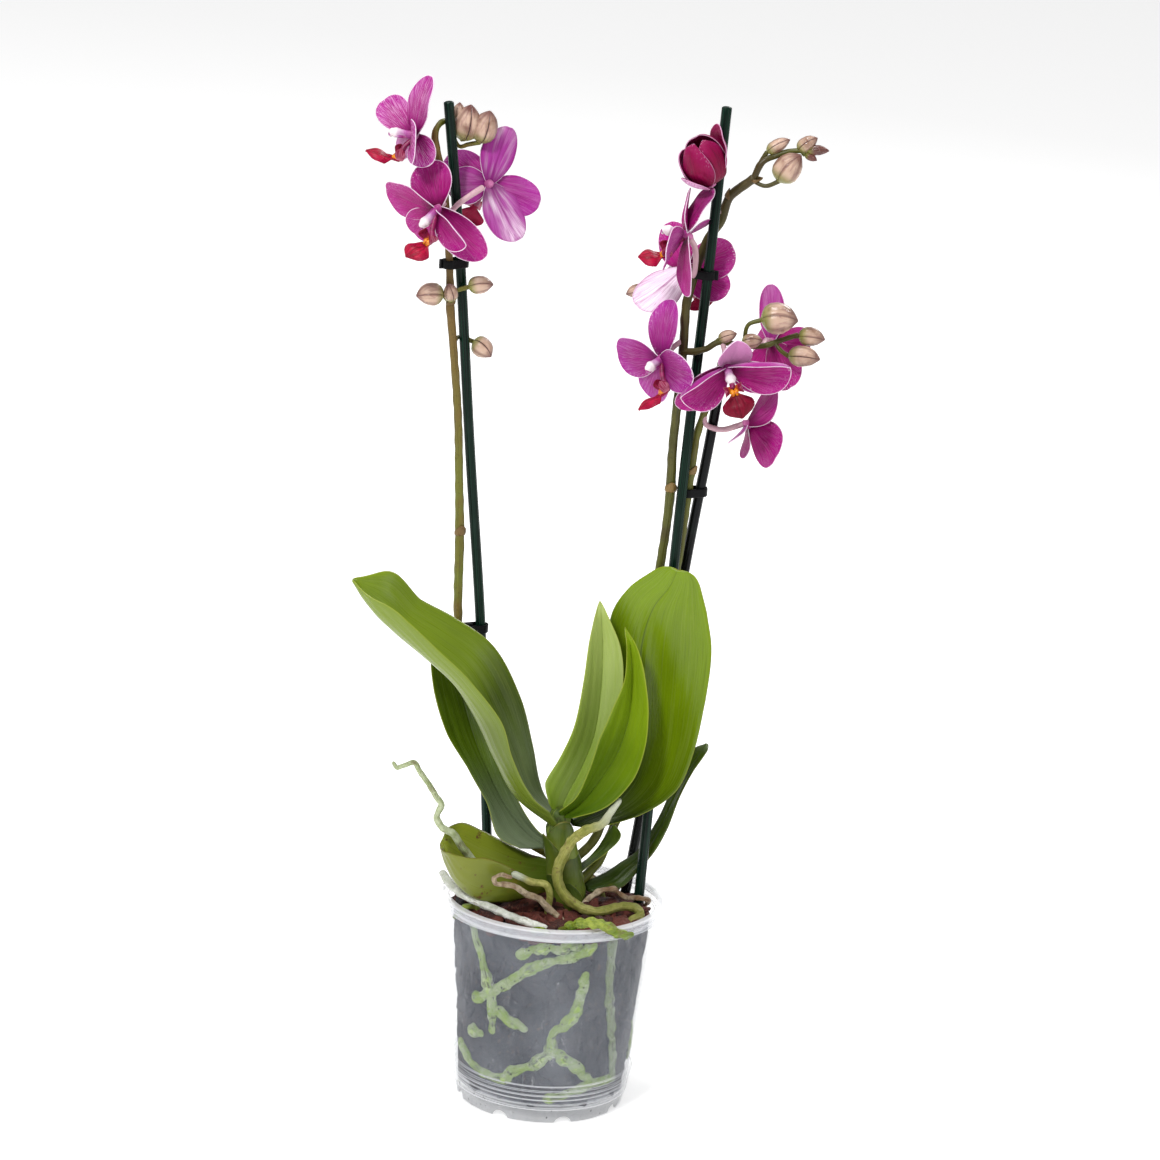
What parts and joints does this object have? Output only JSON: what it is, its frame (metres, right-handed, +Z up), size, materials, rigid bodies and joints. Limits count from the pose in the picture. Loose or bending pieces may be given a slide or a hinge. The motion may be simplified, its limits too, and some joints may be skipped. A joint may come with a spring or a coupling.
{
  "type": "potted orchid",
  "caption": "Moth orchid in a clear ribbed nursery pot of bark, with strap leaves, aerial roots and flower spikes clipped to stakes.",
  "frame": {"origin": "centre of the pot's flat foot, on the surface it stands on", "axes": "+Z up along the pot's axis, -Y the front of the plant, +X to its right as seen from the front"},
  "size_m": [0.2427, 0.1306, 0.5439],
  "materials": {
    "clear_plastic": "clear, glossy, faintly clouded",
    "bark": "rough, matt, damp",
    "crown": "matt, dry sheaths",
    "leaf": "waxy, half gloss",
    "stem": "satin; the buds are dusty pink",
    "petal": "soft, velvety, veined",
    "lip": "waxy",
    "root_pale": "matt, silvery",
    "root_green": "damp",
    "root_dry": "dry, fibrous",
    "stake_green": "grooved, half gloss",
    "stake_black": "half gloss",
    "clip": "half gloss"
  },
  "bodies": {
    "root": {"pot": "clear_plastic", "stake_left": "stake_green", "stake_tall": "stake_green", "stake_short": "stake_black", "crown": "crown", "spray_left": "stem", "spray_middle": "stem", "spray_right": "stem", "clip_left_top": "clip", "clip_left_low": "clip", "clip_right_top": "clip", "clip_right_low": "clip", "leaf_left": "leaf", "leaf_right": "leaf", "leaf_mid_front": "leaf", "leaf_mid_back": "leaf", "leaf_left_back": "leaf", "leaf_low_right": "leaf", "leaf_low_left": "leaf", "leaf_small": "leaf", "root_tall": "root_pale", "root_white": "root_pale", "root_thick": "root_pale", "root_curled": "root_dry", "root_short": "root_pale", "root_rim": "root_green", "root_looped": "root_dry", "root_yellow": "root_green", "root_green": "root_green", "root_stub": "root_pale", "wall_root_upper": "root_green", "wall_root_lower": "root_green", "wall_root_right": "root_green", "wall_root_foot": "root_green", "wall_root_back_left": "root_green", "wall_root_back": "root_green", "wall_root_back_right": "root_green", "substrate": "bark", "bloom_a": "petal", "lip_a": "lip", "bloom_b": "petal", "lip_b": "lip", "bloom_c": "petal", "lip_c": "lip", "bloom_e": "petal", "lip_e": "lip", "bloom_f": "petal", "lip_f": "lip", "bloom_g": "petal", "lip_g": "lip", "bloom_h": "petal", "lip_h": "lip", "bloom_i": "petal", "lip_i": "lip", "bloom_j": "petal", "lip_j": "lip", "bloom_d": "petal"}
  },
  "joints": []
}
